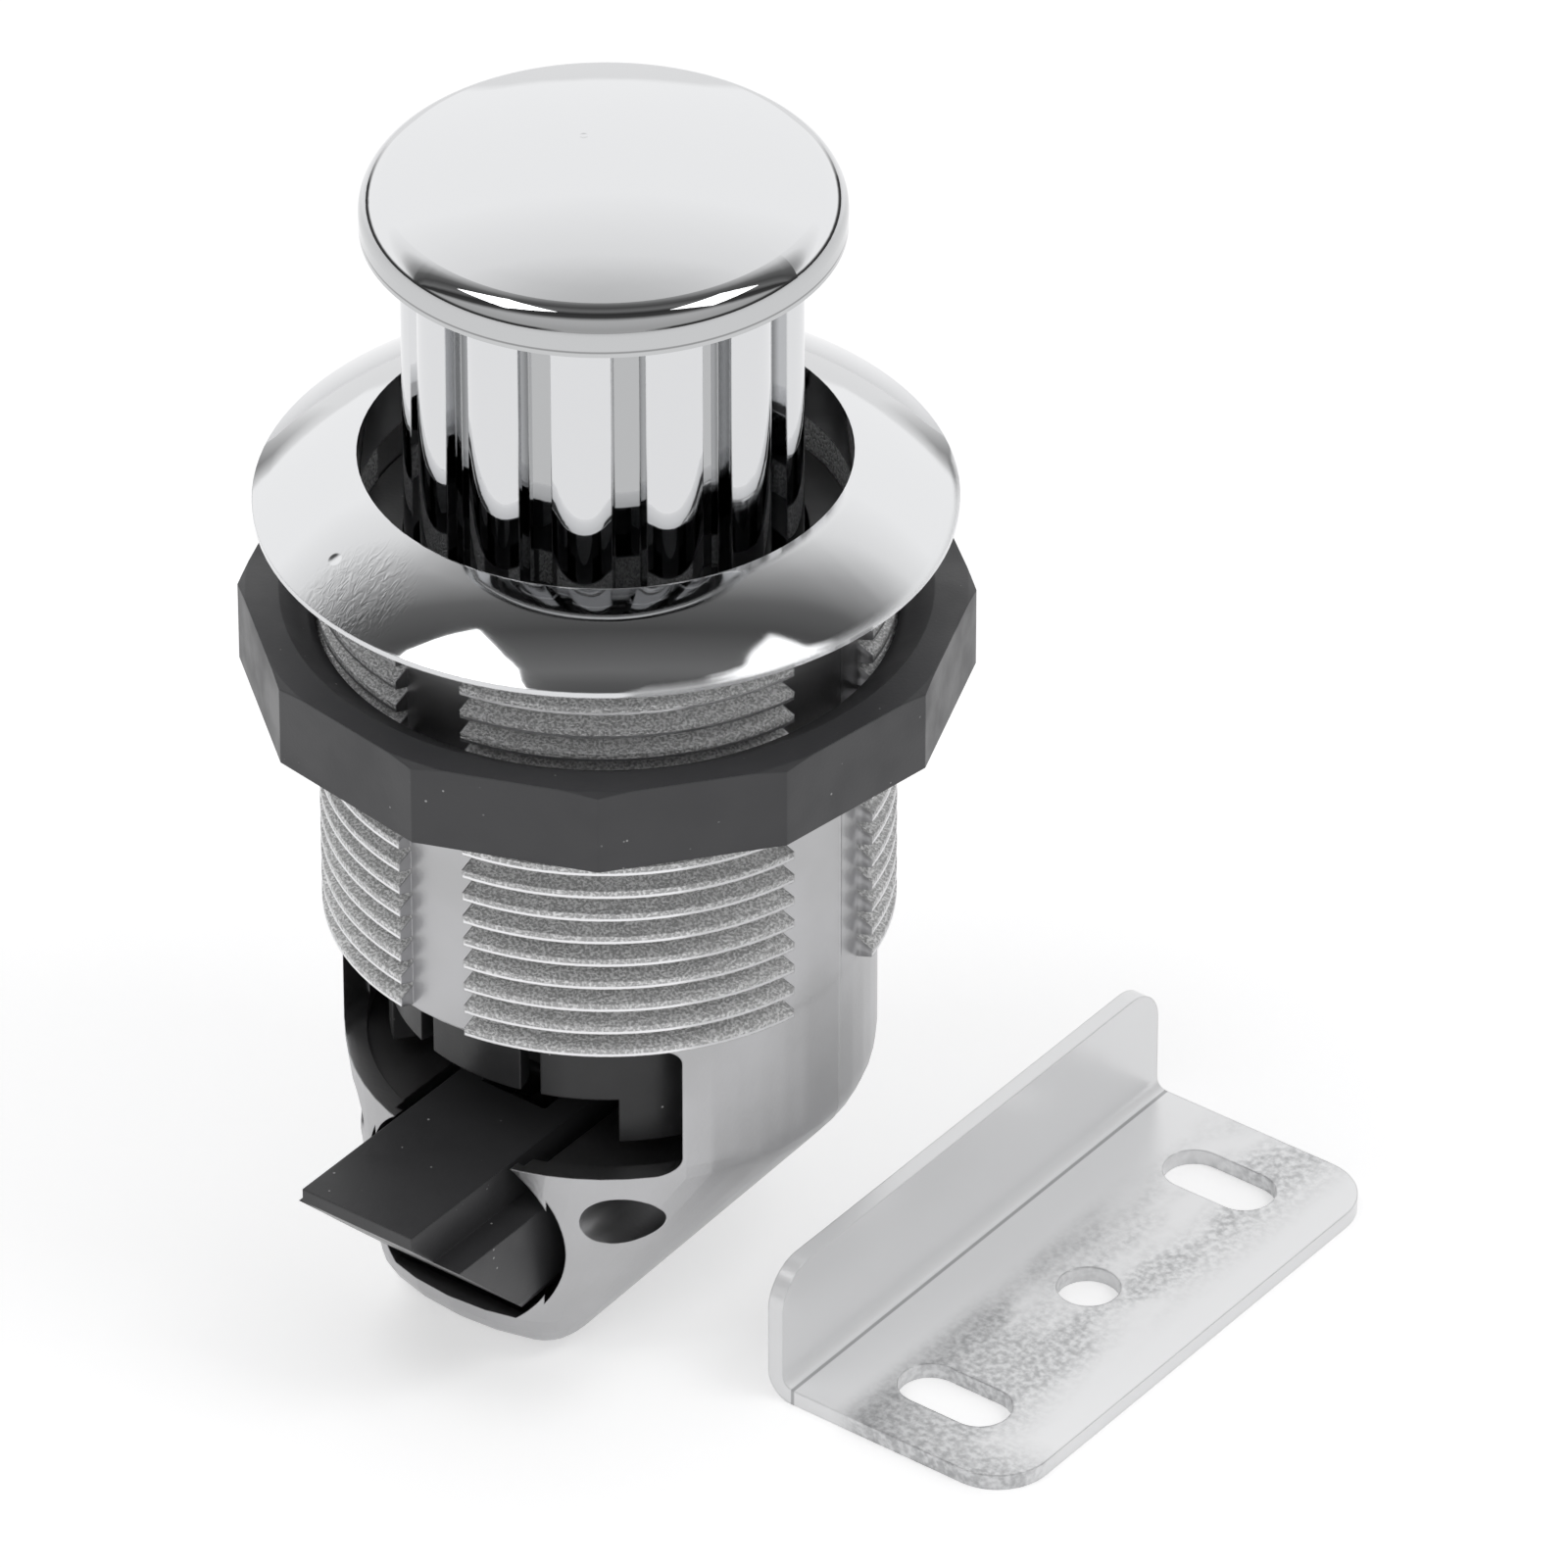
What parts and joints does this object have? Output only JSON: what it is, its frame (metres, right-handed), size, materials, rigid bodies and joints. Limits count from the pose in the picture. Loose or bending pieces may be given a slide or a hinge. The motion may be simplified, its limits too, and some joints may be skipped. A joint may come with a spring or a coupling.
{
  "type": "pushbutton panel latch",
  "caption": "Pushbutton panel latch with a flanged threaded barrel, ring nut, pop-out ribbed knob, sprung bolt and folded strike plate.",
  "frame": {"origin": "centre of the flange's underside, the face that seats on the panel", "axes": "+Z along the barrel and out of the panel towards the knob; the bolt points along -Y; the strike plate lies on the +X side"},
  "size_m": [0.0644, 0.0593, 0.0837],
  "materials": {
    "chrome_casting": "bright plated die casting, satin on the thread",
    "knob_chrome": "mirror plated",
    "nut_plastic": "satin black",
    "black_plastic": "satin black",
    "bolt_plastic": "satin black",
    "spring_steel": "drawn wire",
    "zinc_plate": "bright zinc plated, mottled"
  },
  "bodies": {
    "body": {"housing": "chrome_casting", "guide_sleeve": "black_plastic", "spring_base": "black_plastic", "rocker_pin": "spring_steel", "knob_spring": "spring_steel", "strike_plate": "zinc_plate"},
    "knob": {"knob_cap": "knob_chrome", "knob_stem": "knob_chrome", "cam_core": "black_plastic", "core_pin_left": "spring_steel", "core_pin_right": "spring_steel"},
    "nut": {"mounting_nut": "nut_plastic"},
    "follower": {"cam_follower": "spring_steel"},
    "rod": {"draw_rod": "spring_steel"},
    "lever": {"rocker": "spring_steel"},
    "bolt": {"bolt": "bolt_plastic", "bolt_pin": "spring_steel"}
  },
  "joints": [
    {"name": "knob_slide", "type": "slide", "parent": "body", "child": "knob", "axis": [0, 0, 1], "range_m": [-0.0198, 0.003], "stiffness_N_per_m": 300, "springref_m": 0.0024, "deforming": ["knob_spring"]},
    {"name": "nut_travel", "type": "slide", "parent": "body", "child": "nut", "axis": [0, 0, 1], "range_m": [-0.0187, 0.0067]},
    {"name": "bolt_slide", "type": "slide", "parent": "body", "child": "bolt", "axis": [0, 1, 0], "range_m": [0, 0.0085], "stiffness_N_per_m": 200, "springref_m": -0.004},
    {"name": "rocker_swing", "type": "hinge", "parent": "body", "child": "lever", "pos_m": [0, 0.0004, -0.0416], "axis": [1, 0, 0], "range_deg": [0, 101.2]},
    {"name": "rod_lift", "type": "slide", "parent": "body", "child": "rod", "axis": [0, 0, 1], "range_m": [0, 0.0034]},
    {"name": "follower_swing", "type": "hinge", "parent": "body", "child": "follower", "pos_m": [-0.00115, 0.008, -0.0399], "axis": [0, 1, 0], "range_deg": [0, 4], "stiffness_Nm_per_rad": 0.0005}
  ],
  "couplings": [
    {"joint": "rocker_swing", "follows": "bolt_slide", "rad_per_m": 207.79},
    {"joint": "rod_lift", "follows": "bolt_slide", "ratio": 0.4}
  ]
}
